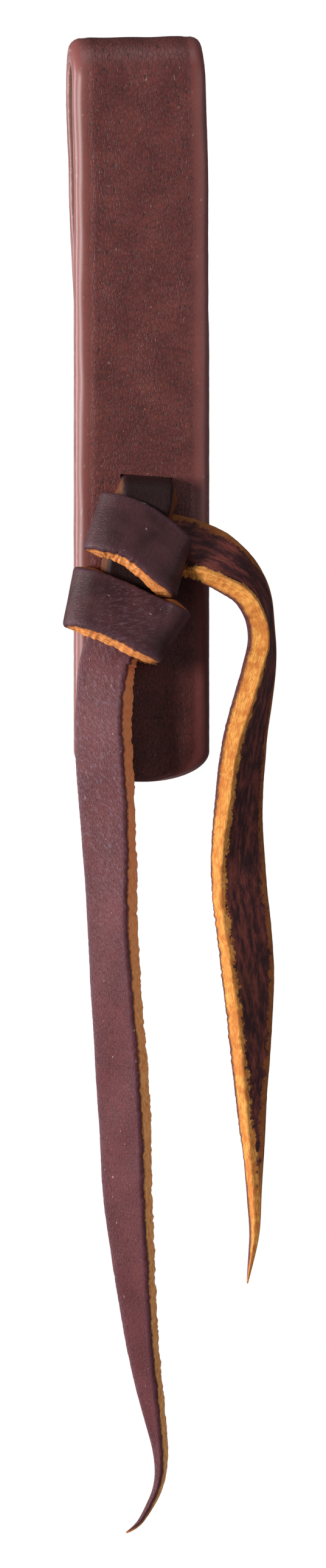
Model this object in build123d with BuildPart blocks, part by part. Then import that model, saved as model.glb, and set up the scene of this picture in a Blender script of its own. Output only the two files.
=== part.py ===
"""Bit end of a leather rein: a doubled strap whose fold holds the bit ring, closed by a knotted tie string.

Millimetres.  The loop hangs from its seat: the origin is the centre of the fold, where the ring sits,
+Z runs up the strap, +X is the strap's right and the front of the knot faces -Y.
"""

import os
from math import cos, radians, sin

from build123d import *

os.makedirs("parts", exist_ok=True)

# ---- strap, 3/4 in harness leather -------------------------------------------------------------
STRAP_WIDTH = 19.0
STRAP_THICK = 4.0
SEAT_RADIUS = 2.5  # inside of the fold, for a ring of 5 mm wire
EYE_STRAIGHT = 16.0  # below the seat the two layers stay this far parallel
EYE_CLOSED = 38.0  # and here they have come together
EYE_BEND_RADIUS = 30.0
LAYER_GAP = 0.2  # between the two layers once they lie on each other
STRAP_END = 99.5  # lowest point of the rounded cut end, below the seat
END_ROUNDING = 4.4  # height of the elliptical cut end
FOLD_CORNER = 2.0
EDGE_ROUNDING = 0.7

# ---- tie string, latigo lace ------------------------------------------------------------------
TIE_WIDTH = 7.6
TIE_THICK = 3.05
SLOT_PLAY = 0.5  # the slots are this much larger than the lace, all round together
CORE_SLANT = 12.0  # degrees the knot's middle strand leans off the strap's length
SLOT_X = 0.5
UPPER_SLOT_DROP = 57.4  # upper slot below the seat
SLOT_SPACING = 21.4  # from slot to slot along the leaning strand
TOUCH = 0.1  # air between leather and leather in the knot
CORE_BEND = 3.2

TURN_SLOPE = 25.0  # degrees the turns run down to the right
UPPER_TURN_DROP = 65.5
LOWER_TURN_DROP = 76.0
UPPER_TURN_ROOM = 8.0  # inside width of each turn
LOWER_TURN_ROOM = 10.4
TURN_CORNER = 3.9

# ---- the two loose tails ----------------------------------------------------------------------
CORE_CUT_DROP = 81.3  # the fixed strand stops here, clear of the tail that swings below it

# each station: x, y, z of the middle of the lace, its width and thickness, and how far its face turns left
LONG_TAIL = [
    (-5.9, -11.4, -83.2, 7.6, 3.05, 25),
    (-6.3, -11.8, -91.0, 7.7, 3.05, 36),
    (-6.2, -12.1, -97.0, 7.7, 3.05, 27),
    (-5.7, -12.4, -105.0, 7.4, 3.05, 26),
    (-5.3, -12.6, -112.5, 7.0, 3.05, 28),
    (-5.1, -12.7, -119.0, 6.7, 3.05, 35),
    (-4.7, -12.6, -127.0, 6.7, 3.05, 31),
    (-4.1, -12.4, -135.0, 6.7, 3.05, 28),
    (-3.6, -12.2, -142.0, 7.1, 3.05, 29),
    (-3.1, -12.0, -150.0, 6.9, 3.05, 30),
    (-2.9, -11.8, -158.0, 6.6, 3.0, 26),
    (-2.1, -11.7, -166.0, 5.7, 2.9, 24),
    (-1.3, -11.6, -174.0, 4.7, 2.8, 23),
    (-0.3, -11.6, -182.0, 3.8, 2.6, 22),
    (1.0, -11.7, -189.0, 2.7, 2.4, 23),
    (2.1, -11.9, -195.0, 1.5, 2.2, 26),
    (1.7, -12.0, -199.0, 1.1, 1.6, 28),
    (0.0, -12.2, -202.4, 1.0, 1.2, 28),
    (-2.9, -12.5, -205.3, 0.6, 1.0, 28),
]
# each station: x, y, z, width, thickness, degrees the run dips below level, how far its face turns out
SHORT_TAIL = [
    (8.3, -8.4, -67.3, 7.8, 3.05, 0, 0),
    (10.4, -10.6, -68.3, 8.0, 3.05, 28, 38),
    (13.4, -11.8, -70.2, 7.9, 3.05, 42, 50),
    (15.8, -12.4, -73.0, 7.7, 3.05, 60, 66),
    (16.6, -12.6, -77.5, 7.8, 3.05, 84, 80),
    (16.3, -12.5, -82.0, 7.6, 3.05, 96, 78),
    (15.1, -12.4, -88.0, 7.7, 3.05, 103, 67),
    (13.9, -12.2, -94.0, 7.7, 3.05, 100, 56),
    (13.0, -12.0, -101.0, 7.8, 3.05, 97, 49),
    (12.7, -11.8, -108.0, 7.8, 3.05, 90, 40),
    (13.0, -11.7, -115.0, 7.8, 3.05, 86, 26),
    (13.8, -11.6, -121.0, 7.8, 3.05, 84, 30),
    (14.4, -11.5, -128.0, 7.5, 3.05, 86, 34),
    (14.6, -11.5, -135.0, 5.9, 3.0, 88, 36),
    (14.7, -11.5, -143.0, 4.0, 2.9, 89, 33),
    (15.0, -11.6, -151.0, 2.3, 2.7, 88, 30),
    (15.2, -11.7, -157.5, 1.3, 2.3, 88, 28),
    (15.4, -11.8, -162.5, 1.1, 1.7, 93, 28),
    (14.9, -11.9, -166.5, 1.0, 1.2, 103, 28),
    (14.3, -12.0, -170.3, 0.6, 1.0, 100, 28),
]

STRAP_FRONT = -(SEAT_RADIUS + STRAP_THICK)
STRAP_DEPTH = 2 * STRAP_THICK + LAYER_GAP
CORE_LEVEL = 1.5 * TIE_THICK + 1.5 * TOUCH  # middle of the strand in front of the strap
TURN_DEPTH = 3 * TIE_THICK + 3 * TOUCH
LEAN = radians(CORE_SLANT)
DOWN = Vector(-sin(LEAN), 0, -cos(LEAN))
ACROSS = Vector(cos(LEAN), 0, -sin(LEAN))
UPPER_SLOT = Vector(SLOT_X, STRAP_FRONT, -UPPER_SLOT_DROP)

# In this plane x runs down the leaning strand and y runs from the strap's front face to its back.
side_plane = Plane(origin=UPPER_SLOT, x_dir=DOWN, z_dir=ACROSS)


def on_strand(drop):
    """The point of the strand's line, on the strap's front face, that lies this far below the seat."""
    return UPPER_SLOT + DOWN * ((drop - UPPER_SLOT_DROP) / cos(LEAN))


# ---- doubled strap -----------------------------------------------------------------------------
FOLD_MIDDLE = SEAT_RADIUS + STRAP_THICK / 2
BACK_MIDDLE = STRAP_FRONT + 1.5 * STRAP_THICK + LAYER_GAP

with BuildPart() as loop_strap:
    with BuildSketch(Plane.YZ):
        with BuildLine():
            Line((-FOLD_MIDDLE, -STRAP_END), (-FOLD_MIDDLE, 0))
            ThreePointArc((-FOLD_MIDDLE, 0), (0, FOLD_MIDDLE), (FOLD_MIDDLE, 0))
            FilletPolyline(
                (FOLD_MIDDLE, 0),
                (FOLD_MIDDLE, -EYE_STRAIGHT),
                (BACK_MIDDLE, -EYE_CLOSED),
                (BACK_MIDDLE, -STRAP_END),
                radius=EYE_BEND_RADIUS,
            )
        trace(line_width=STRAP_THICK)
    extrude(amount=STRAP_WIDTH / 2, both=True)
    side_edges = edges().filter_by(Plane.YZ)
    fillet(side_edges.filter_by(Axis.Y, reverse=True), EDGE_ROUNDING)
    with BuildSketch(Plane.XZ):
        top = SEAT_RADIUS + STRAP_THICK
        with BuildLine():
            CenterArc(
                (STRAP_WIDTH / 2 - FOLD_CORNER, top - FOLD_CORNER), FOLD_CORNER, 0, 90
            )
            Line(
                (STRAP_WIDTH / 2 - FOLD_CORNER, top), (-STRAP_WIDTH / 2 + FOLD_CORNER, top)
            )
            CenterArc(
                (-STRAP_WIDTH / 2 + FOLD_CORNER, top - FOLD_CORNER), FOLD_CORNER, 90, 90
            )
            Line(
                (-STRAP_WIDTH / 2, top - FOLD_CORNER), (-STRAP_WIDTH / 2, END_ROUNDING - STRAP_END)
            )
            EllipticalCenterArc(
                (0, END_ROUNDING - STRAP_END), STRAP_WIDTH / 2, END_ROUNDING, 180, arc_size=180
            )
            Line(
                (STRAP_WIDTH / 2, END_ROUNDING - STRAP_END), (STRAP_WIDTH / 2, top - FOLD_CORNER)
            )
        make_face()
    extrude(amount=4 * STRAP_THICK, both=True, mode=Mode.INTERSECT)
    with BuildSketch(side_plane):
        for reach in (0, SLOT_SPACING):
            with Locations((reach, STRAP_DEPTH / 2)):
                Rectangle(TIE_THICK + SLOT_PLAY, 2 * STRAP_DEPTH)
    extrude(amount=(TIE_WIDTH + SLOT_PLAY) / 2, both=True, mode=Mode.SUBTRACT)
loop_strap.part.label = "loop_strap"
export_step(loop_strap.part, "parts/loop_strap.step")

# ---- tie string, held part -----------------------------------------------------------------------
BACK_FACE = STRAP_DEPTH + TOUCH
BAR_LEVEL = BACK_FACE + TIE_THICK / 2

with BuildPart() as core_strand:
    with BuildSketch(side_plane):
        with BuildLine():
            FilletPolyline(
                (0, BACK_FACE),
                (0, -CORE_LEVEL),
                (SLOT_SPACING + 2 * TIE_WIDTH, -CORE_LEVEL),
                radius=CORE_BEND,
            )
        trace(line_width=TIE_THICK)
    extrude(amount=TIE_WIDTH / 2, both=True)
    split(bisect_by=Plane.XY.offset(-CORE_CUT_DROP), keep=Keep.TOP)
core_strand.part.label = "core_strand"
export_step(core_strand.part, "parts/core_strand.step")

with BuildPart() as back_bar:
    with BuildSketch(side_plane):
        with BuildLine():
            FilletPolyline(
                (-TIE_THICK / 2, BAR_LEVEL),
                (SLOT_SPACING, BAR_LEVEL),
                (SLOT_SPACING, -TOUCH),
                radius=TIE_THICK / 2 + TOUCH,
            )
        trace(line_width=TIE_THICK)
    extrude(amount=TIE_WIDTH / 2, both=True)
back_bar.part.label = "back_bar"
export_step(back_bar.part, "parts/back_bar.step")


def make_turn(name, drop, room):
    """One turn of the lace round the core strand: a flat ring whose two edges run down to the right."""
    slope = radians(TURN_SLOPE)
    edge_normal = Vector(-sin(slope), 0, -cos(slope))
    centre = on_strand(drop) + Vector(0, -TOUCH - TURN_DEPTH / 2, 0)
    upper_edge = Plane(origin=centre - edge_normal * TIE_WIDTH / 2, z_dir=edge_normal)
    lower_edge = Plane(origin=centre + edge_normal * TIE_WIDTH / 2, z_dir=edge_normal)
    with BuildPart() as turn:
        with BuildSketch(Plane(origin=centre, x_dir=ACROSS, z_dir=DOWN)):
            RectangleRounded(room + 2 * TIE_THICK, TURN_DEPTH, TURN_CORNER)
            RectangleRounded(room, TURN_DEPTH - 2 * TIE_THICK, 0.3, mode=Mode.SUBTRACT)
        extrude(amount=2 * TIE_WIDTH, both=True)
        split(bisect_by=upper_edge, keep=Keep.TOP)
        split(bisect_by=lower_edge, keep=Keep.BOTTOM)
    turn.part.label = name
    export_step(turn.part, f"parts/{name}.step")
    return turn.part


upper_turn = make_turn("upper_turn", UPPER_TURN_DROP, UPPER_TURN_ROOM)
lower_turn = make_turn("lower_turn", LOWER_TURN_DROP, LOWER_TURN_ROOM)


# ---- tails ---------------------------------------------------------------------------------------
def long_tail_planes():
    """Section planes of the long tail: x across the lace, z along it."""
    points = [Vector(*station[:3]) for station in LONG_TAIL]
    for index, (x, y, z, _, _, turn) in enumerate(LONG_TAIL):
        before = points[max(index - 1, 0)]
        after = points[min(index + 1, len(points) - 1)]
        run = (after - before).normalized() if index else Vector(0, 0, -1)
        across = Vector(cos(radians(turn)), -sin(radians(turn)), 0)
        across = (across - run * across.dot(run)).normalized()
        yield Plane(origin=(x, y, z), x_dir=across, z_dir=run)


def short_tail_planes():
    """Section planes of the short tail: x across the lace towards its inner edge, z along it."""
    for x, y, z, _, _, dip, turn in SHORT_TAIL:
        run = Vector(cos(radians(dip)), 0, -sin(radians(dip)))
        outward = Vector(sin(radians(dip)), 0, cos(radians(dip)))
        front = Vector(0, -1, 0)
        across = front * sin(radians(turn)) - outward * cos(radians(turn))
        yield Plane(origin=(x, y, z), x_dir=across, z_dir=run)


def make_tail(name, planes, stations):
    """A tail: a rounded end on its hinge line, then flat sections joined one after another."""
    planes = list(planes)
    with BuildPart() as tail:
        for index, plane in enumerate(planes):
            with BuildSketch(plane):
                Rectangle(stations[index][3], stations[index][4])
        loft(ruled=True)
        hinge = planes[0]
        with BuildSketch(Plane(origin=hinge.origin, x_dir=hinge.y_dir, z_dir=hinge.x_dir)):
            Circle(TIE_THICK / 2)
        extrude(amount=stations[0][3] / 2, both=True)
    tail.part.label = name
    export_step(tail.part, f"parts/{name}.step")
    return tail.part


long_tail = make_tail("long_tail", long_tail_planes(), LONG_TAIL)
short_tail = make_tail("short_tail", short_tail_planes(), SHORT_TAIL)

pieces = [loop_strap.part, core_strand.part, back_bar.part, upper_turn, lower_turn, long_tail, short_tail]
for piece in pieces:
    box = piece.bounding_box()
    print(f"{piece.label:12s} {piece.volume:8.1f} mm3  z {box.min.Z:7.1f} to {box.max.Z:6.1f}")
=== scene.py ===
# %% [markdown]
# # The bit end of a leather rein
# This end of a rein holds the bit. A thick strap is folded over the bit's ring and closed by one leather
# lace that goes through two slots and is knotted on the front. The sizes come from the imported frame, so the
# first step is to load it. The leather is measured in millimetres, and turned into metres where a mesh is
# made.

# %% Load the frame
import math

import bmesh
import bpy
import numpy as np
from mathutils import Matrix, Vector, kdtree, noise


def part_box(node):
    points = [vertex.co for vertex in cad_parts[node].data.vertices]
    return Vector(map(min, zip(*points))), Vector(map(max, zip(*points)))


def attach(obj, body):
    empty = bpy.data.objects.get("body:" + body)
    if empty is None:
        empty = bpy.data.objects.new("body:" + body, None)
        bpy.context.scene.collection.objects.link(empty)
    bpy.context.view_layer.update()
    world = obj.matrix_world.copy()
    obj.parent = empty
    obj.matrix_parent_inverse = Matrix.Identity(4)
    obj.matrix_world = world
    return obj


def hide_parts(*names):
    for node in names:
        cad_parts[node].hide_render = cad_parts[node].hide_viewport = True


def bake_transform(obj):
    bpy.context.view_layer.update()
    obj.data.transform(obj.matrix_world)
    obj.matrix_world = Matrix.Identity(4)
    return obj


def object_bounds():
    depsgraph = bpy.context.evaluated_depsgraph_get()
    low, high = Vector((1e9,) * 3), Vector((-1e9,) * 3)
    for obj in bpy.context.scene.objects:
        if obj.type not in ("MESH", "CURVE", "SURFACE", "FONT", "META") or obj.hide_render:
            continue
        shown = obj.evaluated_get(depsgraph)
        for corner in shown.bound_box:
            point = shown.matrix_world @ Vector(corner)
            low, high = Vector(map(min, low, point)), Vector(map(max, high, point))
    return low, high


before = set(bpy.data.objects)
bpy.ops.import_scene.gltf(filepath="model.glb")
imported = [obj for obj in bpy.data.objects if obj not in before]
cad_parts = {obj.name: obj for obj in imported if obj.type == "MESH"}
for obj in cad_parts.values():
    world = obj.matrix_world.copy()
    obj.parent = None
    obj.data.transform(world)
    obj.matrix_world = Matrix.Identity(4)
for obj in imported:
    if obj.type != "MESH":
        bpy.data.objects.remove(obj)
cad_low, cad_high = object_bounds()
MM = 0.001
scene = bpy.context.scene

strap_low, strap_high = (np.array(corner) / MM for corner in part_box("loop_strap"))
STRAP_WIDTH = strap_high[0] - strap_low[0]
STRAP_THICK = 4.0
LACE_THICK = 3.05
strap_front = strap_low[1]
print("strap front face at y =", round(strap_front, 2), "mm, width", round(STRAP_WIDTH, 2), "mm")

# %% [markdown]
# ## Camera, floor and light
# A small leather part is best seen with a long lens from far away, which keeps its edges parallel. The camera
# stands a few degrees to the strap's left, so the rounded left edge and the doubled layer behind it show.

# %% Camera
VIEW_TURN = math.radians(5.6)
CAMERA_AWAY = 1.3
SEEN_HEIGHT = 0.2221
SENSOR = 36
middle = Vector((0.0029, -0.0065, -0.0998))

camera_data = bpy.data.cameras.new("camera")
camera_data.sensor_width = SENSOR
camera_data.lens = SENSOR * CAMERA_AWAY / SEEN_HEIGHT
camera = bpy.data.objects.new("camera", camera_data)
scene.collection.objects.link(camera)
towards_camera = Vector((-math.sin(VIEW_TURN), -math.cos(VIEW_TURN), 0))
camera.location = middle + towards_camera * CAMERA_AWAY
camera.rotation_euler = (-towards_camera).to_track_quat("-Z", "Y").to_euler()
scene.camera = camera
print("lens", round(camera_data.lens), "mm")

# %% [markdown]
# The key light is a soft box well to the left and a little above. It lets the knot and the tail throw a dark
# shadow on the strap. A strip light further round to the left gives the burnished edges their pale line. A
# large weak fill from the right keeps the cut edges there readable, and the room adds only a little, so the
# shadows stay deep.


# %% Lights
def softbox(name, azimuth, elevation, away, size, watts, colour):
    """A square area light that looks at the object's middle. Azimuth 0 is in front, and -90 at its left."""
    data = bpy.data.lights.new(name, "AREA")
    data.size = size
    data.energy = watts
    data.color = colour
    light = bpy.data.objects.new(name, data)
    scene.collection.objects.link(light)
    a, e = math.radians(azimuth), math.radians(elevation)
    towards = Vector((math.sin(a) * math.cos(e), -math.cos(a) * math.cos(e), math.sin(e)))
    light.location = middle + towards * away
    light.rotation_euler = (-towards).to_track_quat("-Z", "Y").to_euler()


softbox("key", azimuth=-53, elevation=6, away=1.2, size=0.36, watts=17.6, colour=(1.0, 0.97, 0.95))
softbox("edge strip", azimuth=-108, elevation=6, away=1.0, size=0.5, watts=9.5, colour=(0.98, 0.98, 1.0))
softbox("fill", azimuth=52, elevation=10, away=1.1, size=0.9, watts=2.7, colour=(0.93, 0.96, 1.0))
softbox("top", azimuth=-20, elevation=72, away=1.0, size=0.6, watts=2.5, colour=(0.9, 0.95, 1.0))

# The camera sees a white room, and the leather gets only a tenth of its light.
ROOM_LIGHT = 0.1
world = bpy.data.worlds.new("room")
scene.world = world
world.use_nodes = True
nodes, links = world.node_tree.nodes, world.node_tree.links
nodes.clear()
seen = nodes.new("ShaderNodeBackground")
seen.inputs["Color"].default_value = (1, 1, 1, 1)
seen.inputs["Strength"].default_value = 1.0
lighting = nodes.new("ShaderNodeBackground")
lighting.inputs["Color"].default_value = (0.94, 0.96, 1.0, 1)
lighting.inputs["Strength"].default_value = ROOM_LIGHT
choose = nodes.new("ShaderNodeMixShader")
path = nodes.new("ShaderNodeLightPath")
out = nodes.new("ShaderNodeOutputWorld")
links.new(path.outputs["Is Camera Ray"], choose.inputs["Fac"])
links.new(lighting.outputs[0], choose.inputs[1])
links.new(seen.outputs[0], choose.inputs[2])
links.new(choose.outputs[0], out.inputs["Surface"])
scene.view_settings.view_transform = "Standard"

# %% Floor
FLOOR_DROP = 0.35
FLOOR_REACH = 0.45
floor_mesh = bpy.data.meshes.new("floor")
corners = ((-1, -1), (1, -1), (1, 1), (-1, 1))
floor_z = cad_low.z - FLOOR_DROP
floor_mesh.from_pydata([(x * FLOOR_REACH, y * FLOOR_REACH, floor_z) for x, y in corners], [], [(0, 1, 2, 3)])
floor = bpy.data.objects.new("floor", floor_mesh)
scene.collection.objects.link(floor)
floor_paint = bpy.data.materials.new("floor paint")
floor_paint.use_nodes = True
floor_shader = floor_paint.node_tree.nodes["Principled BSDF"]
floor_shader.inputs["Base Color"].default_value = (0.9, 0.9, 0.9, 1)
floor_shader.inputs["Roughness"].default_value = 0.8
floor_mesh.materials.append(floor_paint)

# %% [markdown]
# ## How a strip of leather is made here
# Strap and lace are both flat strips that bend and twist, so one helper makes them all. It takes the middle
# line, the direction across the strip, the width and the thickness at many places along it, and puts a
# rounded section there. Each point also remembers where it lies in the flat strip, before any bending: how
# far along, how far across and how deep. The leather's grain is later drawn in those flat places, so it
# follows every bend as it does on real hide.

# %% Section of a strip
EDGE_STEPS = 7
CORNER_STEPS = 4
MOST_ROUND = 0.45


def section(width, thick, shape):
    """One closed section as (across, depth) pairs: the grain face, one edge, the flesh face, the other edge.

    The corners are quarter ellipses. At the grain side they are bevel wide and grain_round deep.
    """
    half = width / 2
    b = min(shape["bevel"], MOST_ROUND * half)
    g = min(shape["grain_round"], MOST_ROUND * half, MOST_ROUND * thick)
    f = min(shape["flesh_round"], MOST_ROUND * half, MOST_ROUND * thick)
    turn = np.linspace(0, math.pi / 2, CORNER_STEPS + 2)[1:-1]
    face = np.linspace(-(half - b), half - b, shape["face_steps"])
    side = np.linspace(g, thick - f, EDGE_STEPS)
    back = np.linspace(half - f, -(half - f), shape["face_steps"])
    right = [(half - b + b * math.sin(a), g - g * math.cos(a)) for a in turn]
    low_right = [(half - f + f * math.cos(a), thick - f + f * math.sin(a)) for a in turn]
    low_left = [(-(half - f) - f * math.sin(a), thick - f + f * math.cos(a)) for a in turn]
    left = [(-(half - b) - b * math.cos(a), g - g * math.sin(a)) for a in turn]
    ring = [(w, 0) for w in face] + right + [(half, t) for t in side] + low_right
    ring += [(w, thick) for w in back] + low_left + [(-half, t) for t in side[::-1]] + left
    return np.array(ring)


# %% Strip mesh
CREASE_IN = 2.0
CREASE_WIDE = 0.45
# Torn fibres at a cut edge: how much, how often along it, how often through it.
TEARS = [(0.45, 0.5, 0.8), (0.7, 1.7, 1.5), (0.3, 3.1, 3.5)]
# Tearing fades in over the outermost fifth of each half, and the two edges tear apart from each other.
TORN_FROM, TORN_OVER = 0.8, 0.2
EDGES_APART = 7
WAVES_ALONG, WAVES_ACROSS, WAVES_THROUGH = 0.16, 0.22, 2


def unit(v):
    return v / np.linalg.norm(v, axis=-1, keepdims=True)


def strip(name, line, across, width, thick, shape, tone=None, keep=slice(None)):
    """A leather strip as a closed mesh. line and across are points and directions in mm, one row per place.

    shape holds the section's roundings, flare (the flesh side is this much wider), ragged (how rough the cut
    edges are), first_edge (the first edge's share of that), wave (how uneven the faces are), crease (how deep
    a line is pressed beside the edges) and nicks in the second edge. tone is stored for the material, and
    keep is a slice of places.
    """
    line = np.asarray(line, float)
    steps = np.linalg.norm(np.diff(line, axis=0), axis=1)
    lengths = np.concatenate([[0], np.cumsum(steps)])
    run = unit(np.gradient(line, axis=0))
    across = unit(across - run * np.sum(across * run, axis=1, keepdims=True))
    out_of_grain = unit(np.cross(run, across))
    tone = np.zeros(len(line)) if tone is None else tone
    places = range(len(line))[keep]
    points, flat, span = [], [], []
    for i in places:
        ring = section(width[i], thick[i], shape)
        half = width[i] / 2
        for w, t in ring:
            s = lengths[i]
            depth = t / thick[i]
            edge = max(0.0, (abs(w) - TORN_FROM * half) / (TORN_OVER * half))
            wide = w * (1 + shape["flare"] * (depth - 0.5) / max(half, 1))
            side = EDGES_APART * np.sign(w)
            torn = sum(much * noise.noise(Vector((s * u, depth * v, side))) for much, u, v in TEARS)
            torn *= 1 if w > 0 else shape["first_edge"]
            wide += np.sign(w) * edge * shape["ragged"] * torn * min(1, half / 2)
            for where, deep, length in shape["nicks"]:
                wide -= max(0, w / half) * deep * math.exp(-(((s - where) / length) ** 2))
            wave_place = Vector((s * WAVES_ALONG, w * WAVES_ACROSS, depth * WAVES_THROUGH))
            lift = shape["wave"] * noise.noise(wave_place)
            if t < shape["grain_round"]:
                lift -= shape["crease"] * math.exp(-(((half - abs(w) - CREASE_IN) / CREASE_WIDE) ** 2))
            points.append(line[i] + across[i] * wide + out_of_grain[i] * (thick[i] / 2 - t + lift))
            flat.append((s, w, t))
            span.append((half, thick[i], tone[i]))
    count = len(ring)
    faces = []
    for r in range(len(places) - 1):
        for c in range(count):
            d = (c + 1) % count
            faces.append((r * count + c, r * count + d, (r + 1) * count + d, (r + 1) * count + c))
    faces.append(tuple(range(count))[::-1])
    faces.append(tuple(range((len(places) - 1) * count, len(places) * count)))
    mesh = bpy.data.meshes.new(name)
    mesh.from_pydata([tuple(p * MM) for p in points], [], faces)
    for label, values in (("lay", flat), ("span", span)):
        attribute = mesh.attributes.new(label, "FLOAT_VECTOR", "POINT")
        attribute.data.foreach_set("vector", np.array(values, np.float32).ravel())
    shell = bmesh.new()
    shell.from_mesh(mesh)
    bmesh.ops.recalc_face_normals(shell, faces=shell.faces)
    shell.to_mesh(mesh)
    shell.free()
    mesh.polygons.foreach_set("use_smooth", [True] * len(mesh.polygons))
    piece = bpy.data.objects.new(name, mesh)
    scene.collection.objects.link(piece)
    print(f"{name}: {len(points)} points, {lengths[places[-1]] - lengths[places[0]]:.1f} mm long")
    return piece


# %% [markdown]
# ## The doubled strap
# The strap is 4 mm harness leather, folded so that its inside takes the bit ring. The front layer hangs
# straight. The back layer leaves the fold level with it and comes in to lie against it, which makes a slim
# eye. Its line is drawn from straights and arcs, because the seat's radius is a real size.

# %% Line of the strap
SEAT_RADIUS = 2.5
fold_middle = SEAT_RADIUS + STRAP_THICK / 2
LAYER_GAP = 0.2
back_middle = strap_front + 1.5 * STRAP_THICK + LAYER_GAP
EYE_STRAIGHT, EYE_CLOSED = 14.0, 40.0
strap_end = -strap_low[2]
END_ROUNDING = 4.4
END_STEPS = 16
FIRST_ANGLE = 0.06
ROW_EVERY = 0.5
FOLD_STEPS = 37


def ease(x):
    """A smooth step from 0 to 1."""
    x = np.clip(x, 0, 1)
    return x * x * (3 - 2 * x)


def end_spacing():
    """Distances from the rounded cut end, closer together where it is round."""
    angles = np.linspace(FIRST_ANGLE, math.pi / 2, END_STEPS)
    return END_ROUNDING * (1 - np.cos(angles))


rounded = end_spacing()
straight = np.arange(END_ROUNDING + ROW_EVERY, strap_end, ROW_EVERY)
from_end = np.concatenate([rounded, straight])
front_z = -strap_end + from_end
fold_angles = np.linspace(math.pi, 0, FOLD_STEPS)[1:-1]
back_z = front_z[::-1]

front_line = np.column_stack([0 * front_z, 0 * front_z - fold_middle, front_z])
fold_line = np.column_stack(
    [0 * fold_angles, fold_middle * np.cos(fold_angles), fold_middle * np.sin(fold_angles)]
)
closing = ease((-back_z - EYE_STRAIGHT) / (EYE_CLOSED - EYE_STRAIGHT))
back_line = np.column_stack([0 * back_z, fold_middle + (back_middle - fold_middle) * closing, back_z])
strap_line = np.concatenate([front_line, fold_line, back_line])

# %% [markdown]
# Hand-cut leather isn't perfectly true: the loop leans a little to the left at its top, and the back layer
# lies half a millimetre to the right of the front one. The strap is also a little narrower at the fold, where
# bending pulls the leather in.

# %% Small leans of the strap
TOP_LEAN = -0.6
BACK_SHIFT = 0.5
TOP_SLOPE = 0.03
SQUEEZE, SQUEEZE_AT, SQUEEZE_OVER = 0.35, 5, 5
# The share of the lean that each layer has where it meets the fold, and how much the fold's top adds to it.
FRONT_SHARE, BACK_SHARE, TOP_ADDS = 0.55, 0.7, 0.3
# How far down each layer leans, and where the back layer's shift starts and how long it takes.
FRONT_LEANS_OVER, BACK_LEANS_OVER = 16, 14
SHIFT_FROM, SHIFT_OVER = 12, 24
front_lean = FRONT_SHARE * TOP_LEAN * ease((front_z + FRONT_LEANS_OVER) / FRONT_LEANS_OVER)
round_fold = np.linspace(0, BACK_SHARE - FRONT_SHARE, len(fold_angles))
fold_lean = TOP_LEAN * (FRONT_SHARE + TOP_ADDS * np.sin(fold_angles) + round_fold)
back_lean = BACK_SHARE * TOP_LEAN * ease((back_z + BACK_LEANS_OVER) / BACK_LEANS_OVER)
back_lean += BACK_SHIFT * ease((-back_z - SHIFT_FROM) / SHIFT_OVER)
strap_line[:, 0] += np.concatenate([front_lean, fold_lean, back_lean])
strap_ways = np.tile([-1.0, 0, 0], (len(strap_line), 1))
strap_ways[:, 2] = -TOP_SLOPE * ease(strap_line[:, 2] / 3)

taper = np.sqrt(np.clip(1 - ((END_ROUNDING - from_end) / END_ROUNDING).clip(0, 1) ** 2, 0.002, 1))
strap_width = STRAP_WIDTH * np.concatenate([taper, np.ones(len(fold_angles)), taper[::-1]])
STRAP = {
    "face_steps": 48,
    "bevel": 1.9,
    "grain_round": 1.3,
    "flesh_round": 0.7,
    "flare": 0.0,
    "ragged": 0.03,
    "first_edge": 1.0,
    "wave": 0.16,
    "crease": 0.1,
    "nicks": [],
}
fold_squeeze = SQUEEZE * np.exp(-(((strap_line[:, 2] - SQUEEZE_AT) / SQUEEZE_OVER) ** 2))
strap = strip(
    "doubled_strap",
    strap_line,
    strap_ways,
    strap_width - fold_squeeze,
    np.full(len(strap_line), STRAP_THICK),
    STRAP,
)

# %% [markdown]
# The slots are punched through both layers and lean with the strand that goes through them. A Boolean
# modifier cuts them out of the strap, and is applied at once so that the strap stays one plain mesh. The
# uncut strap's points are kept in a search tree first, since the cut edges have to look up their flat places.

# %% Knot directions and slots
SLOT_X, SLOT_DROP, SLOT_SPACING = 0.5, 57.4, 21.4
SLOT_EASE = 0.14
SLOT_WIDE = 7.4
SLOT_HIGH = LACE_THICK + 0.1
SLOT_ROUND = 1.3
UPPER_SLOT_DOWN = 0.35
lean = math.radians(12)
DOWN = np.array([-math.sin(lean), 0, -math.cos(lean)])
ACROSS = np.array([math.cos(lean), 0, -math.sin(lean)])
OUT = np.array([0, -1.0, 0])
upper_slot = np.array([SLOT_X, strap_front, -SLOT_DROP])


def knot_place(down, side, out):
    """A place in the knot: down its middle strand from the upper slot, to the right, and out in front."""
    return upper_slot + DOWN * down + ACROSS * side + OUT * out


def slot_cutter(centre, ease_off):
    """A rounded block to cut one opening. It leans with the knot, or by ease_off less."""
    wide, high, deep = SLOT_WIDE, SLOT_HIGH, 3 * STRAP_THICK
    level, plumb = unit(ACROSS - ease_off * DOWN), unit(DOWN + ease_off * ACROSS)
    shape = bmesh.new()
    for v in bmesh.ops.create_cube(shape, size=1)["verts"]:
        x, y, z = v.co
        v.co = Vector((centre + level * wide * x + OUT * deep * y - plumb * high * z) * MM)
    long_edges = [e for e in shape.edges if abs((e.verts[0].co - e.verts[1].co).y) > 0.5 * deep * MM]
    bmesh.ops.bevel(shape, geom=long_edges, offset=SLOT_ROUND * MM, segments=6, affect="EDGES")
    bmesh.ops.recalc_face_normals(shape, faces=shape.faces)
    mesh = bpy.data.meshes.new("slot cutter")
    shape.to_mesh(mesh)
    shape.free()
    cutter = bpy.data.objects.new("slot cutter", mesh)
    scene.collection.objects.link(cutter)
    return cutter


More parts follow.
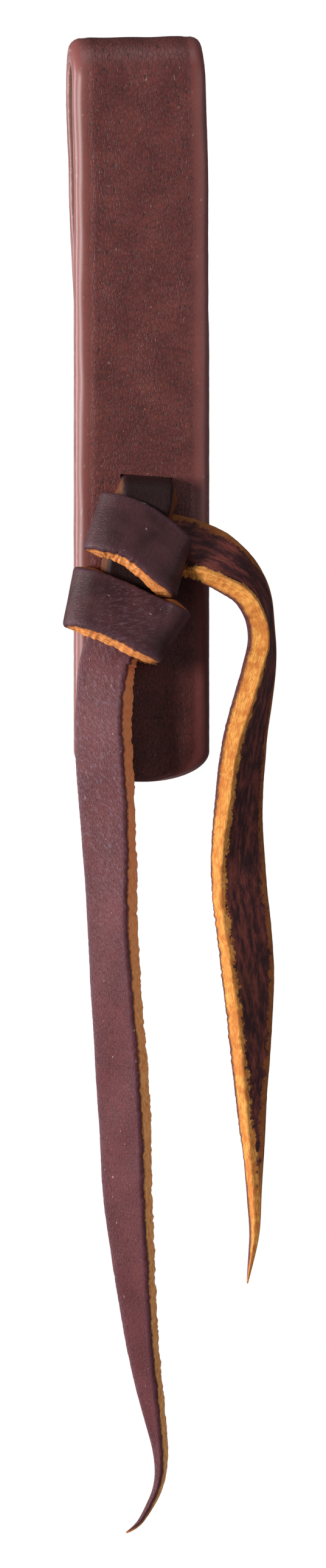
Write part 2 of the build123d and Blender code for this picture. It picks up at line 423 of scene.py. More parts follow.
def cut_opening(piece, down, ease_off):
    """Cut one opening out of a piece, for good."""
    cutter = slot_cutter(knot_place(down, 0, -STRAP_THICK), ease_off)
    cut = piece.modifiers.new("slot", "BOOLEAN")
    cut.object = cutter
    cut.solver = "EXACT"
    bpy.context.view_layer.objects.active = piece
    bpy.ops.object.modifier_apply(modifier=cut.name)
    bpy.data.objects.remove(cutter)


uncut_tree = kdtree.KDTree(len(strap.data.vertices))
for v in strap.data.vertices:
    uncut_tree.insert(v.co, v.index)
uncut_tree.balance()
uncut_lay = [v.vector.copy() for v in strap.data.attributes["lay"].data]
uncut_span = [v.vector.copy() for v in strap.data.attributes["span"].data]
uncut = (uncut_tree, list(zip(uncut_lay, uncut_span)))

cut_opening(strap, UPPER_SLOT_DOWN, SLOT_EASE)
cut_opening(strap, SLOT_SPACING, 0)
print("strap with its slots:", len(strap.data.vertices), "points")

# %% [markdown]
# ## The lace
# The lace is one piece of latigo leather. Its line is a smooth NURBS curve through the knot: up the middle
# strand, into the upper slot, down the back, out at the lower slot, twice round the strand, and away. The
# direction across the lace is carried by a second curve with the same number of control points, and its
# width, thickness and tone by a third, so all of them change as smoothly as the line does.


# %% Smooth lines from control points
def smooth_rows(rows, steps):
    """NURBS lines of order 3 through rows of control points, read back as one array of points per row."""
    curve = bpy.data.curves.new("guide", "CURVE")
    curve.dimensions = "3D"
    curve.resolution_u = steps
    for row in rows:
        spline = curve.splines.new("NURBS")
        spline.points.add(len(row) - 1)
        for point, place in zip(spline.points, row):
            point.co = (*place, 1)
        spline.order_u = 3
        spline.use_endpoint_u = True
    guide = bpy.data.objects.new("guide", curve)
    mesh = bpy.data.meshes.new_from_object(guide)
    places = np.array([v.co for v in mesh.vertices], float).reshape(len(rows), -1, 3)
    bpy.data.objects.remove(guide)
    bpy.data.curves.remove(curve)
    bpy.data.meshes.remove(mesh)
    return places


# %% [markdown]
# In the knot each control point is given by where it lies (down the strand, to the right, out from the strap)
# and by the way across the lace towards its lower edge. The turns flare out at their lower edge, where stiff
# leather won't lie flat.

# %% Control points of the knot
LACE_WIDTH = 7.6
TURN_WIDTH = 8.9
SLOT_FILL = 7.9
strand = (0, -1, 0)
slot_way = (SLOT_EASE, -1, 0)
back_level = -(2 * STRAP_THICK + LAYER_GAP + 0.15 + LACE_THICK / 2)
KNOT = [
    # down, side, out, way across, width, tone (1 oiled, just under 1 painted sheen, painted shade: 2 on the
    # edges, 3 nearly black)
    (19.5, 0.0, 4.85, strand, LACE_WIDTH, 1),
    (15.0, 0.0, 4.85, strand, LACE_WIDTH, 3),
    (10.0, 0.0, 4.85, strand, LACE_WIDTH, 3),
    (5.4, 0.0, 5.2, strand, LACE_WIDTH, 3),
    (3.0, 0.0, 6.2, (0.05, -1, 0), LACE_WIDTH, 3),
    (0.9, 0.0, 5.0, slot_way, SLOT_FILL, 3),
    (0.35, 0.0, 1.5, slot_way, SLOT_FILL, 3),
    (0.35, 0.0, -2.0, slot_way, SLOT_FILL, 1),
    (0.3, 0.0, -5.0, slot_way, SLOT_FILL, 1),
    (0.2, 0.0, back_level + 1.8, (0.05, -1, 0), LACE_WIDTH, 1),
    (0.3, 0.0, back_level - 0.1, strand, LACE_WIDTH, 1),
    (3.5, 0.0, back_level, strand, LACE_WIDTH, 1),
    (10.7, 0.0, back_level, strand, LACE_WIDTH, 1),
    (18.0, 0.0, back_level, strand, LACE_WIDTH, 1),
    (21.1, 0.0, back_level - 0.1, strand, LACE_WIDTH, 1),
    (21.4, 0.0, back_level + 1.8, strand, LACE_WIDTH, 1),
    (21.4, 0.0, -4.0, strand, SLOT_FILL, 1),
    (21.4, 0.0, -0.5, strand, SLOT_FILL, 1),
    (21.2, 0.8, 1.5, (0.7, -0.7, 0), LACE_WIDTH, 1),
    (20.8, 2.8, 1.75, (1, -0.2, 0), LACE_WIDTH, 1),
    (20.4, 5.4, 1.8, (1, -0.2, 0), TURN_WIDTH, 1),
    (20.2, 6.6, 2.6, (1, -0.34, 0), TURN_WIDTH, 1),
    (20.2, 6.7, 5.0, (1, -0.4, 0.05), TURN_WIDTH, 1),
    (20.2, 6.4, 7.4, (1, -0.44, 0.15), TURN_WIDTH, 1),
    (20.2, 5.0, 8.1, (1, -0.32, 0.28), TURN_WIDTH, 0.92),
    (19.6, 2.4, 8.0, (1, -0.2, 0.3), TURN_WIDTH, 0.87),
    (18.8, -0.6, 7.9, (1, -0.12, 0.3), TURN_WIDTH, 0.85),
    (18.3, -3.4, 7.9, (1, -0.08, 0.26), TURN_WIDTH, 0.9),
    (18.0, -5.7, 7.6, (1, -0.04, 0.16), TURN_WIDTH, 1),
    (18.0, -6.5, 5.0, (1, 0.0, 0.05), TURN_WIDTH, 1.2),
    (17.8, -6.0, 2.2, (1, 0.05, 0), TURN_WIDTH, 2),
    (16.6, -3.4, 1.65, (1, 0.25, 0), LACE_WIDTH, 3),
    (14.2, 0.2, 1.65, (1, 0.3, 0), LACE_WIDTH, 3),
    (11.8, 3.2, 2.0, (1, 0.2, 0), LACE_WIDTH, 2),
    (11.0, 5.2, 3.4, (1, 0.0, 0), TURN_WIDTH, 2),
    (10.8, 5.8, 5.4, (1, -0.04, 0.05), TURN_WIDTH, 1),
    (10.5, 5.5, 7.6, (1, -0.1, 0.15), TURN_WIDTH, 1),
    (9.7, 4.0, 8.2, (1, -0.16, 0.26), TURN_WIDTH, 1),
    (8.4, 1.8, 8.1, (1, -0.24, 0.3), TURN_WIDTH, 1),
    (7.3, -1.0, 8.0, (1, -0.2, 0.28), TURN_WIDTH, 1),
    (6.9, -3.6, 7.9, (1, -0.16, 0.22), TURN_WIDTH, 1),
    (6.9, -5.2, 7.2, (1, -0.14, 0.12), TURN_WIDTH, 1),
    (7.0, -5.5, 4.8, (1, -0.12, 0.05), TURN_WIDTH, 1),
    (7.0, -4.9, 2.2, (1, -0.05, 0), LACE_WIDTH, 1),
    (7.0, -2.4, 1.65, (1, 0, 0), LACE_WIDTH, 1),
    (7.3, 0.6, 1.65, (1, 0, 0), LACE_WIDTH, 1),
    (7.5, 3.0, 1.65, (1, 0, 0), LACE_WIDTH, 1),
]
KNOT_STEPS = 14
knot_points = [knot_place(*row[:3]) for row in KNOT]
knot_across = [unit(np.array(row[3]) @ np.array([DOWN, ACROSS, OUT])) for row in KNOT]
knot_sizes = [(row[4], LACE_THICK, row[5]) for row in KNOT]
knot_line, knot_ways, knot_measures = smooth_rows([knot_points, knot_across, knot_sizes], KNOT_STEPS)
print("lace in the knot:", round(float(np.linalg.norm(np.diff(knot_line, axis=0), axis=1).sum()), 1), "mm")

# %% [markdown]
# The knot's lace is one line, but it is cut into the stretches a person would name, each where another part
# of the knot hides the joint.

# %% Stretches of the knot
LACE = {
    "face_steps": 18,
    "bevel": 0.5,
    "grain_round": 0.42,
    "flesh_round": 0.3,
    "flare": 0.5,
    "ragged": 0.24,
    "first_edge": 0.5,
    "wave": 0.14,
    "crease": 0.0,
    "nicks": [],
}
STRAND = dict(LACE, flare=1.0, ragged=0.12)
STRETCHES = {
    # first span, last span, section, the solid it stands for
    "middle_strand": (0, 8, STRAND, "core_strand"),
    "back_strand": (8, 17, LACE, "back_bar"),
    "first_turn": (17, 31, LACE, "lower_turn"),
    "second_turn": (31, 45, LACE, "upper_turn"),
}
# A curve of order 3 has two spans fewer than it has control points, and each span has as many steps.
per_point = (len(knot_line) - 1) / (len(KNOT) - 2)
knot_pieces = {}
for name, (first, last, shape, node) in STRETCHES.items():
    start, stop = round(first * per_point), round(last * per_point)
    knot_pieces[name] = strip(
        name,
        knot_line,
        knot_ways,
        knot_measures[:, 0],
        knot_measures[:, 1],
        shape,
        tone=knot_measures[:, 2],
        keep=slice(start, stop + 1),
    )
    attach(knot_pieces[name], "knotted_loop")
    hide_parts(node)

# %% [markdown]
# ## The two tails
# Each tail is a free length of the same lace, skived to a point at its end. The long one hangs grain side
# forward and turned a little to the left; the short one comes out behind the second turn with its flesh side
# forward, goes over in an arc, and twists as it falls.

# %% Control points of the tails
LONG_TAIL = [
    # x, y, z, width, thickness, how far the face turns to the left, tone (more has more painted sheen flecks)
    (-3.6, -11.35, -76.5, 7.6, 3.05, 0, 0.6),
    (-4.9, -11.35, -80.6, 7.6, 3.05, 14, 0.6),
    (-5.9, -11.4, -83.2, 7.6, 3.05, 23, 0.5),
    (-6.3, -11.8, -91.0, 7.7, 3.05, 36, 0.45),
    (-6.2, -12.1, -97.0, 7.7, 3.05, 27, 0.4),
    (-5.7, -12.4, -105.0, 7.4, 3.05, 26, 0.35),
    (-5.3, -12.6, -112.5, 7.0, 3.05, 28, 0.3),
    (-5.1, -12.7, -119.0, 6.7, 3.05, 35, 0.25),
    (-4.7, -12.6, -127.0, 6.7, 3.05, 31, 0.2),
    (-4.1, -12.4, -135.0, 6.7, 3.05, 28, 0.15),
    (-3.6, -12.2, -142.0, 7.1, 3.05, 29, 0.1),
    (-3.1, -12.0, -150.0, 6.9, 3.05, 30, 0.04),
    (-2.9, -11.8, -158.0, 6.6, 3.0, 26, 0.04),
    (-2.1, -11.7, -166.0, 5.7, 2.9, 24, 0.04),
    (-1.3, -11.6, -174.0, 4.7, 2.8, 23, 0.04),
    (-0.3, -11.6, -182.0, 3.8, 2.6, 22, 0.04),
    (1.0, -11.7, -189.0, 2.7, 2.4, 23, 0.04),
    (2.1, -11.9, -195.0, 1.5, 2.2, 26, 0.04),
    (1.7, -12.0, -199.0, 1.0, 1.5, 28, 0.04),
    (0.0, -12.2, -202.4, 0.75, 1.0, 28, 0.04),
    (-1.4, -12.4, -204.5, 0.5, 0.7, 28, 0.04),
    (-2.9, -12.5, -205.3, 0.16, 0.25, 28, 0.04),
]
SHORT_TAIL = [
    # x, y, z, width, thickness, degrees it runs below level, how far its face turns out, tone (-1 undyed)
    (1.9, -8.15, -65.4, 7.8, 3.05, 14, 0, 0.0),
    (5.0, -8.3, -66.3, 8.0, 3.05, 16, 12, 0.0),
    (8.3, -9.4, -67.3, 8.0, 3.05, 22, 30, 0.0),
    (10.1, -10.6, -68.4, 8.0, 3.05, 28, 38, 0.0),
    (12.9, -11.8, -70.5, 7.9, 3.05, 42, 50, 0.0),
    (15.2, -12.4, -73.2, 7.7, 3.05, 60, 66, 0.0),
    (16.3, -12.6, -77.5, 7.8, 3.05, 84, 77, 0.0),
    (16.2, -12.5, -82.0, 7.7, 3.3, 96, 74, 0.0),
    (15.0, -12.4, -88.0, 7.8, 3.3, 103, 64, 0.0),
    (13.7, -12.2, -94.0, 7.8, 3.2, 100, 55, 0.0),
    (13.0, -12.0, -101.0, 7.8, 3.05, 97, 49, 0.0),
    (12.7, -11.8, -108.0, 7.8, 3.05, 90, 40, 0.0),
    (13.0, -11.7, -115.0, 7.8, 3.05, 86, 26, 0.0),
    (13.8, -11.6, -121.0, 7.8, 3.05, 84, 30, 0.0),
    (14.4, -11.5, -128.0, 7.5, 3.05, 86, 34, -0.25),
    (14.6, -11.5, -135.0, 5.9, 3.0, 88, 36, 0.0),
    (14.7, -11.5, -143.0, 4.0, 2.9, 89, 33, 0.0),
    (15.0, -11.6, -151.0, 2.3, 2.7, 88, 30, 0.0),
    (15.2, -11.7, -157.5, 1.3, 2.3, 88, 28, -0.3),
    (15.4, -11.8, -162.5, 0.9, 1.7, 93, 28, -1.0),
    (14.9, -11.9, -166.5, 0.5, 1.1, 103, 28, -1.0),
    (14.3, -12.0, -170.3, 0.14, 0.25, 100, 28, -1.0),
]
TAIL_STEPS = 24


def across_long(turn):
    """The way across the long tail, to its right edge, with its grain face turned so far to the left."""
    a = math.radians(turn)
    return np.array([math.cos(a), -math.sin(a), 0])


def across_short(dip, turn):
    """The way across the short tail, to its inner edge, when it runs below level and its face turns out."""
    d, a = math.radians(dip), math.radians(turn)
    outward = np.array([math.sin(d), 0, math.cos(d)])
    return np.array([0, -1.0, 0]) * math.sin(a) - outward * math.cos(a)


def tail(name, places, ways, sizes, node, shape):
    line, way, measures = smooth_rows([places, ways, sizes], TAIL_STEPS)
    piece = strip(name, line, way, measures[:, 0], measures[:, 1], shape, tone=measures[:, 2])
    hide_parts(node)
    return piece


TAIL = dict(LACE, ragged=0.3, first_edge=0.2)
# The knife slipped on the short tail's inner edge: where, how deep, how long.
NICKED_TAIL = dict(TAIL, nicks=[(18.0, -0.3, 1.5), (23.0, 0.75, 1.7), (26.3, -0.35, 1.2)])
long_tail_piece = tail(
    "long_free_tail",
    [row[:3] for row in LONG_TAIL],
    [across_long(row[5]) for row in LONG_TAIL],
    [(row[3], row[4], row[6]) for row in LONG_TAIL],
    "long_tail",
    TAIL,
)
short_tail_piece = tail(
    "short_free_tail",
    [row[:3] for row in SHORT_TAIL],
    [across_short(row[5], row[6]) for row in SHORT_TAIL],
    [(row[3], row[4], row[7]) for row in SHORT_TAIL],
    "short_tail",
    NICKED_TAIL,
)

# %% [markdown]
# ## Leather, in node groups
# The strap and the lace are the same kind of hide with different dyes, so what they share is put in two node
# groups. The first one reads where a point lies in the flat strip and tells the three surfaces of a cut strip
# apart: the grain face, the flesh face and the raw edge between them. The second one draws the fine grain.


# %% Small helpers for nodes
def colour(red, green, blue):
    """A colour given as 0 to 255 on the usual scale, as the linear numbers a shader wants."""
    parts = [c / 255 for c in (red, green, blue)]
    return tuple(c / 12.92 if c <= 0.04045 else ((c + 0.055) / 1.055) ** 2.4 for c in parts) + (1.0,)


class Tree:
    """A node tree with short calls, for a group or a material."""

    def __init__(self, tree):
        self.tree = tree

    def add(self, kind, inputs=None, **settings):
        """A node with its settings, and its inputs linked to sockets or set to numbers."""
        made = self.tree.nodes.new(kind)
        for key, value in settings.items():
            setattr(made, key, value)
        for key, value in (inputs or {}).items():
            if isinstance(value, bpy.types.NodeSocket):
                self.tree.links.new(value, made.inputs[key])
            else:
                made.inputs[key].default_value = value
        return made

    def maths(self, how, a, b=0.0):
        """One sum of sockets or numbers."""
        return self.add("ShaderNodeMath", {0: a, 1: b}, operation=how).outputs[0]

    def step(self, value, low, high):
        """0 where value is at low, 1 where it is at high, and smooth between."""
        made = self.add(
            "ShaderNodeMapRange",
            {"Value": value, "From Min": low, "From Max": high},
            interpolation_type="SMOOTHSTEP",
        )
        return made.outputs["Result"]

    def mix(self, amount, a, b):
        """A colour that goes from a to b as amount goes from 0 to 1."""
        return self.add("ShaderNodeMix", {0: amount, 6: a, 7: b}, data_type="RGBA").outputs[2]

    def between(self, amount, a, b):
        """A number that goes from a to b as amount goes from 0 to 1."""
        return self.add("ShaderNodeMix", {0: amount, 2: a, 3: b}, data_type="FLOAT").outputs[0]

    def noise(self, place, scale, detail=2.0, rough=0.5, warp=0.0):
        made = self.add(
            "ShaderNodeTexNoise",
            {"Vector": place, "Scale": scale, "Detail": detail, "Roughness": rough, "Distortion": warp},
        )
        return made.outputs["Fac"]

    def stretch(self, place, x, y, z):
        """A place with each of its parts multiplied, so a pattern drawn there comes out longer or shorter."""
        return self.add("ShaderNodeVectorMath", {0: place, 1: (x, y, z)}, operation="MULTIPLY").outputs[0]

    def use_group(self, group, inputs):
        """The outputs of a node group that is put into this tree."""
        return self.add("ShaderNodeGroup", inputs, node_tree=group).outputs

    def give(self, node, values):
        """Link each labelled value to the node's input of that name."""
        for label, socket in values.items():
            self.tree.links.new(socket, node.inputs[label])


def new_group(name, takes, gives):
    """A node group with float or vector inputs and its outputs, and its tree."""
    group = bpy.data.node_groups.new(name, "ShaderNodeTree")
    for label, kind in takes:
        group.interface.new_socket(label, in_out="INPUT", socket_type=kind)
    for label, kind in gives:
        group.interface.new_socket(label, in_out="OUTPUT", socket_type=kind)
    tree = Tree(group)
    return group, tree, tree.add("NodeGroupInput"), tree.add("NodeGroupOutput")


# %% Node group: the three surfaces of a cut strip
FLOAT, VECTOR = "NodeSocketFloat", "NodeSocketVector"
cut_faces, t, given, result = new_group(
    "cut faces",
    [("Dye Depth", FLOAT), ("Dye Border", FLOAT), ("Rim Width", FLOAT)],
    [
        ("Place", VECTOR),
        ("Grain Face", FLOAT),
        ("Flesh Face", FLOAT),
        ("Dye Line", FLOAT),
        ("Dyed Flesh", FLOAT),
        ("Rim", FLOAT),
        ("First Edge", FLOAT),
        ("Tone", FLOAT),
    ],
)
lay = t.add("ShaderNodeAttribute", attribute_name="lay").outputs["Vector"]
span = t.add("ShaderNodeAttribute", attribute_name="span").outputs["Vector"]
lay_parts = t.add("ShaderNodeSeparateXYZ", {0: lay}).outputs
span_parts = t.add("ShaderNodeSeparateXYZ", {0: span}).outputs
wander = t.maths("SUBTRACT", t.noise(lay, 0.8, 4, 0.65), 0.5)
fine = t.maths("SUBTRACT", t.noise(t.stretch(lay, 2.2, 2.2, 1.0), 1.6, 3, 0.6), 0.5)
uneven = t.maths("ADD", t.maths("MULTIPLY", wander, 1.5), t.maths("MULTIPLY", fine, 0.7))
depth = t.maths("ADD", lay_parts[2], t.maths("MULTIPLY", uneven, given.outputs["Dye Depth"]))
past_dye = t.maths("DIVIDE", depth, given.outputs["Dye Depth"])
grain_face = t.step(past_dye, 1.15, 0.85)
dye_line = t.maths("MULTIPLY", t.step(past_dye, 0.8, 1.0), t.step(past_dye, 2.6, 1.0))
from_flesh = t.maths("SUBTRACT", span_parts[1], lay_parts[2])
flesh_face = t.step(t.maths("ADD", from_flesh, t.maths("MULTIPLY", uneven, 0.25)), 0.42, 0.16)
from_edge = t.maths("SUBTRACT", span_parts[0], t.maths("ABSOLUTE", lay_parts[1]))
PATCHINESS = 1.7
patchy = t.maths("MULTIPLY", t.maths("MULTIPLY", uneven, PATCHINESS), given.outputs["Dye Border"])
border = t.maths("ADD", from_edge, patchy)
dyed = t.step(t.maths("DIVIDE", border, given.outputs["Dye Border"]), 0.75, 1.15)
first_edge = t.step(lay_parts[1], 0.0, -0.2)
rim = t.step(t.maths("DIVIDE", from_edge, given.outputs["Rim Width"]), 1.0, 0.2)
t.give(
    result,
    {
        "Place": lay,
        "Grain Face": grain_face,
        "Flesh Face": flesh_face,
        "Dye Line": dye_line,
        "Dyed Flesh": dyed,
        "Rim": rim,
        "First Edge": first_edge,
        "Tone": span_parts[2],
    },
)
print("cut faces group:", len(cut_faces.nodes), "nodes")

# %% [markdown]
# Full-grain leather shows pores as fine dark pits, drawn out along the hide, and between them a skin of small
# flat cells. Two noises and a cell pattern at fractions of a millimetre make that. A slower noise gives the
# cloudy look that dye leaves, and a ridged one gives the soft creases of leather that has been bent.

# %% Node group: full grain
full_grain, t, given, result = new_group(
    "full grain",
    [("Place", VECTOR), ("Pore Scale", FLOAT), ("Crease", FLOAT), ("Wrinkle", FLOAT)],
    [("Height", FLOAT), ("Pores", FLOAT), ("Cloud", FLOAT), ("Fleck", FLOAT), ("Slant", FLOAT)],
)
place = given.outputs["Place"]
long_place = t.stretch(place, 0.6, 1.0, 1.0)
pore_noise = t.add(
    "ShaderNodeTexNoise", {"Vector": long_place, "Scale": given.outputs["Pore Scale"], "Detail": 3.0}
).outputs["Fac"]
cells = t.add(
    "ShaderNodeTexVoronoi",
    {"Vector": long_place, "Scale": given.outputs["Pore Scale"]},
    feature="DISTANCE_TO_EDGE",
).outputs["Distance"]
between_cells = t.step(cells, 0.16, 0.02)
pores = t.maths("MAXIMUM", t.step(pore_noise, 0.42, 0.32), t.maths("MULTIPLY", between_cells, 0.45))
cloud = t.noise(place, 0.2, 4, 0.6, 0.3)
fleck = t.step(t.noise(place, 1.0, 5, 0.72), 0.54, 0.72)
FOLD_SLANT = math.radians(-38)
slanted = t.add("ShaderNodeVectorRotate", {0: place, "Angle": FOLD_SLANT}, rotation_type="Z_AXIS").outputs[0]
fine_folds = t.noise(t.stretch(slanted, 0.6, 1.8, 1.0), 1.5, 3, 0.65, 0.4)
slow_folds = t.noise(t.stretch(slanted, 0.4, 1.0, 1.0), 0.35, 2, 0.5, 0.4)
wrinkles = t.noise(t.stretch(place, 2.6, 0.45, 1.0), 1.0, 3, 0.6, 0.7)
height = t.maths("MULTIPLY", t.maths("SUBTRACT", 1.0, pores), 0.5)
folds = t.maths("ADD", fine_folds, t.maths("MULTIPLY", slow_folds, 1.5))
height = t.maths("ADD", height, t.maths("MULTIPLY", folds, given.outputs["Crease"]))
height = t.maths("ADD", height, t.maths("MULTIPLY", wrinkles, given.outputs["Wrinkle"]))
t.give(result, {"Height": height, "Pores": pores, "Cloud": cloud, "Fleck": fleck, "Slant": fine_folds})
print("full grain group:", len(full_grain.nodes), "nodes")


# %% [markdown]
# ## Strap leather
# Harness leather for reins is dyed a dark red-brown and waxed, so it has a satin shine. Its edges are
# bevelled and burnished, which closes the fibres and leaves them paler and smoother than the face.


# %% Strap material
def blank_material(name):
    """A material with its Principled BSDF, and the tree to build in."""
    material = bpy.data.materials.new(name)
    material.use_nodes = True
    return material, Tree(material.node_tree), material.node_tree.nodes["Principled BSDF"]


strap_leather, t, shader = blank_material("strap leather")
faces = t.use_group(cut_faces, {"Dye Depth": 1.5, "Dye Border": 0.5, "Rim Width": 3.4})
grain = t.use_group(full_grain, {"Place": faces["Place"], "Pore Scale": 1.9, "Crease": 0.12, "Wrinkle": 0.0})
fine_speckle = t.noise(t.stretch(faces["Place"], 0.45, 1, 1), 5.0, 3, 0.7)
tint = t.mix(t.step(grain["Cloud"], 0.3, 0.7), colour(72, 31, 30), colour(99, 49, 45))
tint = t.mix(t.maths("MULTIPLY", t.step(fine_speckle, 0.42, 0.66), 0.6), tint, colour(122, 62, 55))
tint = t.mix(t.maths("MULTIPLY", faces["Rim"], 0.62), tint, colour(136, 80, 76))
tint = t.mix(t.maths("MULTIPLY", grain["Fleck"], 0.75), tint, colour(122, 50, 40))
open_pores = t.maths("MULTIPLY", grain["Pores"], t.step(faces["Rim"], 0.8, 0.1))
tint = t.mix(t.maths("MULTIPLY", open_pores, 0.8), tint, colour(48, 21, 22))
pale_specks = t.step(t.noise(t.stretch(faces["Place"], 0.5, 1, 1), 2.0, 2, 0.5), 0.69, 0.76)
tint = t.mix(t.maths("MULTIPLY", pale_specks, 0.5), tint, colour(168, 134, 126))
tan_specks = t.step(t.noise(faces["Place"], 1.3, 3, 0.6), 0.68, 0.76)
tint = t.mix(t.maths("MULTIPLY", tan_specks, 0.4), tint, colour(164, 90, 56))
streak = t.noise(t.stretch(faces["Place"], 0.08, 1.2, 1.2), 1.6, 4, 0.65)
burnished = t.mix(t.step(streak, 0.35, 0.65), colour(110, 66, 64), colour(160, 120, 118))
burnished = t.mix(t.maths("MULTIPLY", grain["Fleck"], 0.6), burnished, colour(160, 88, 60))
raw = t.mix(faces["Grain Face"], burnished, tint)
flesh = t.mix(fine_speckle, colour(70, 38, 34), colour(112, 70, 58))
skin = t.mix(faces["Flesh Face"], raw, flesh)
t.tree.links.new(skin, shader.inputs["Base Color"])
shine = t.maths("ADD", 0.42, t.maths("MULTIPLY", open_pores, 0.15))
shine = t.maths("ADD", shine, t.maths("MULTIPLY", faces["Flesh Face"], 0.35))
t.tree.links.new(shine, shader.inputs["Roughness"])
shader.inputs["Specular IOR Level"].default_value = 0.42
grain_height = t.maths("MULTIPLY", grain["Height"], t.step(faces["Rim"], 0.9, 0.1))
PORE_DEPTH = 0.08
relief = t.add("ShaderNodeBump", {"Height": grain_height, "Distance": PORE_DEPTH * MM})
t.tree.links.new(relief.outputs[0], shader.inputs["Normal"])
print("strap leather:", len(t.tree.nodes), "nodes")

# %% [markdown]
# ## Lace leather
# Latigo lace is dyed and oiled on its faces only. Its cut edges show the hide's own tan colour with loose
# fibres, and a dark purple line where the dye has crept in. The flesh face took the dye unevenly, and stayed
# tan along its borders and at the very tip. The tone that each point carries says how much oil and handling
# the lace has had there, and where light and shade are painted: below 0 undyed, up to 0.6 a loose tail, about
# 1 the knot, and 2 to 3 painted shade, nearly black on the strand and between the turns. Painted sheen flecks
# show on the long tail above 0.05 and on the lower turn just under 1.

# %% Lace material
lace_leather, t, shader = blank_material("lace leather")
faces = t.use_group(cut_faces, {"Dye Depth": 0.4, "Dye Border": 1.0, "Rim Width": 1.3})
tone = faces["Tone"]
worked_hard = t.maths("MULTIPLY", t.step(tone, 0.7, 1.0), 1.3)
grain = t.use_group(
    full_grain, {"Place": faces["Place"], "Pore Scale": 2.6, "Crease": 0.8, "Wrinkle": worked_hard}
)
RED_BROWN, CREPT_DYE, PAINTED_SHADE_BLACK = colour(112, 54, 28), colour(62, 26, 38), colour(36, 15, 15)
clouds = t.step(grain["Cloud"], 0.32, 0.68)
burgundy = t.mix(clouds, colour(84, 36, 40), colour(98, 46, 50))
worked = t.mix(clouds, colour(50, 26, 28), colour(74, 43, 45))
face = t.mix(t.step(tone, 0.5, 1.0), burgundy, worked)
# Painted sheen: pale grey-violet flecks along the slanted folds, where the long tail and the lower turn catch
# the light.
painted_sheen_place = t.maths("MULTIPLY", t.step(tone, 0.05, 0.45), t.step(tone, 1.0, 0.8))
painted_sheen_flecks = t.maths("MULTIPLY", t.step(grain["Slant"], 0.48, 0.68), t.maths("MULTIPLY", painted_sheen_place, 0.35))
face = t.mix(painted_sheen_flecks, face, colour(126, 108, 122))
# Painted highlight: a greyish purple band along the grain face's rims, where the rounded edges catch the
# light.
face = t.mix(t.maths("MULTIPLY", faces["Rim"], 0.3), face, colour(84, 56, 68))
face = t.mix(t.maths("MULTIPLY", grain["Pores"], 0.4), face, colour(42, 20, 26))
# Pale specks, partly real scuffs and partly painted glints.
specks = t.step(t.noise(t.stretch(faces["Place"], 0.5, 1, 1), 1.7, 2, 0.5), 0.72, 0.76)
face = t.mix(t.maths("MULTIPLY", specks, 0.6), face, colour(178, 158, 158))
# Painted shade: at tone 3 the face goes nearly black, on the strand by the upper slot and between the turns.
face = t.mix(t.step(tone, 1.9, 2.8), face, PAINTED_SHADE_BLACK)
fibres = t.noise(t.stretch(faces["Place"], 0.6, 2.2, 2.6), 1.9, 5, 0.7)
tan = t.mix(t.step(fibres, 0.32, 0.7), colour(186, 101, 47), colour(242, 164, 94))
tan = t.mix(t.step(t.noise(faces["Place"], 2.8, 3, 0.6), 0.6, 0.74), tan, colour(236, 192, 138))
tail_tan = t.mix(t.step(fibres, 0.3, 0.7), colour(184, 108, 42), colour(232, 170, 88))
patches = t.step(t.noise(faces["Place"], 0.55, 4, 0.6), 0.42, 0.62)
tail_tan = t.mix(t.maths("MULTIPLY", patches, 0.6), tail_tan, colour(176, 92, 38))
bright = t.mix(t.step(fibres, 0.3, 0.7), colour(214, 126, 66), colour(255, 196, 128))
ruddy = t.mix(t.maths("MULTIPLY", t.step(tone, 0.1, 0.4), 0.6), bright, colour(226, 124, 88))
long_edge = t.mix(t.step(tone, 0.005, 0.03), tail_tan, ruddy)
tan = t.mix(t.step(tone, 0.75, 0.65), tan, long_edge)
edge = t.mix(t.maths("MULTIPLY", faces["Dye Line"], 0.9), tan, CREPT_DYE)
# Painted shade: from tone 1.05, fully by 1.9, the cut edges go dark brown where the strand and turns lie in
# shadow.
edge = t.mix(t.maths("MULTIPLY", t.step(tone, 1.05, 1.9), 0.9), edge, colour(56, 28, 20))
edge = t.mix(t.maths("MULTIPLY", faces["First Edge"], 0.7), edge, RED_BROWN)
edge = t.mix(faces["Grain Face"], edge, face)
streaks = t.noise(t.stretch(faces["Place"], 0.4, 1.3, 1.0), 0.9, 5, 0.72)
flesh_dye = t.mix(t.step(streaks, 0.4, 0.68), colour(52, 25, 29), colour(122, 60, 52))
took_dye = t.maths("MULTIPLY", faces["Dyed Flesh"], t.step(tone, -0.9, -0.1))
took_dye = t.maths("MAXIMUM", took_dye, t.step(tone, 0.8, 1.2))
outer_border = t.maths("MULTIPLY", faces["First Edge"], t.step(tone, -0.6, -0.1))
flesh_border = t.mix(t.maths("MULTIPLY", outer_border, 0.8), tail_tan, RED_BROWN)
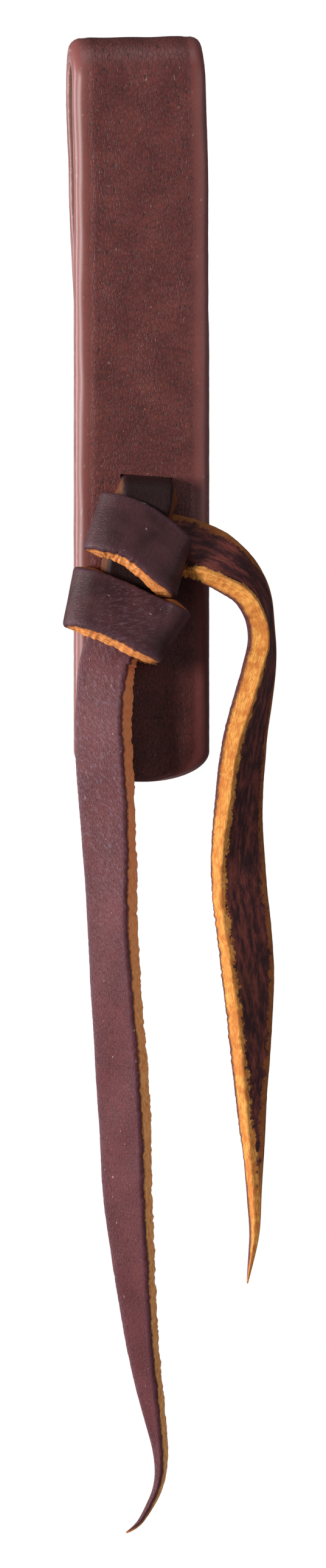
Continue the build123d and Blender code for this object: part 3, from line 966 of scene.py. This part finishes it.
flesh = t.mix(took_dye, flesh_border, flesh_dye)
skin = t.mix(faces["Flesh Face"], edge, flesh)
t.tree.links.new(skin, shader.inputs["Base Color"])
rough = t.maths("ADD", 0.66, t.maths("MULTIPLY", fibres, 0.3))
satin = t.maths("ADD", 0.42, t.maths("MULTIPLY", grain["Cloud"], 0.16))
satin = t.maths("ADD", satin, t.maths("MULTIPLY", grain["Pores"], 0.12))
rough = t.between(faces["Grain Face"], rough, satin)
rough = t.between(faces["Flesh Face"], rough, 0.62)
t.tree.links.new(rough, shader.inputs["Roughness"])
shader.inputs["Specular IOR Level"].default_value = 0.2
fibre_height = t.maths("MULTIPLY", fibres, 1.5)
height = t.between(faces["Grain Face"], fibre_height, grain["Height"])
FIBRE_DEPTH = 0.16
relief = t.add("ShaderNodeBump", {"Height": height, "Strength": 0.45, "Distance": FIBRE_DEPTH * MM})
t.tree.links.new(relief.outputs[0], shader.inputs["Normal"])
print("lace leather:", len(t.tree.nodes), "nodes")

# %% [markdown]
# ## Put it together
# The strap and the knot ride on the body that the bit ring holds, and the tails keep their points where they
# were made.


# %% Strap finish, shading and riding
STRAP_SHARP, LACE_SHARP = math.radians(50), math.radians(60)


def nearest_lay(piece, before):
    """Give the points that the slots made the flat place of the nearest point of the uncut strap."""
    tree, values = before
    lay, span = piece.data.attributes["lay"], piece.data.attributes["span"]
    for v in piece.data.vertices:
        _, index, _ = tree.find(v.co)
        lay.data[v.index].vector = values[index][0]
        span.data[v.index].vector = values[index][1]


nearest_lay(strap, uncut)
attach(strap, "knotted_loop")
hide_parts("loop_strap")
strap.data.materials.append(strap_leather)
strap.data.set_sharp_from_angle(angle=STRAP_SHARP)

# %% Lace finish
lace_pieces = [*knot_pieces.values(), long_tail_piece, short_tail_piece]
for piece in lace_pieces:
    piece.data.materials.append(lace_leather)
    piece.data.set_sharp_from_angle(angle=LACE_SHARP)
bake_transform(long_tail_piece)
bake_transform(short_tail_piece)
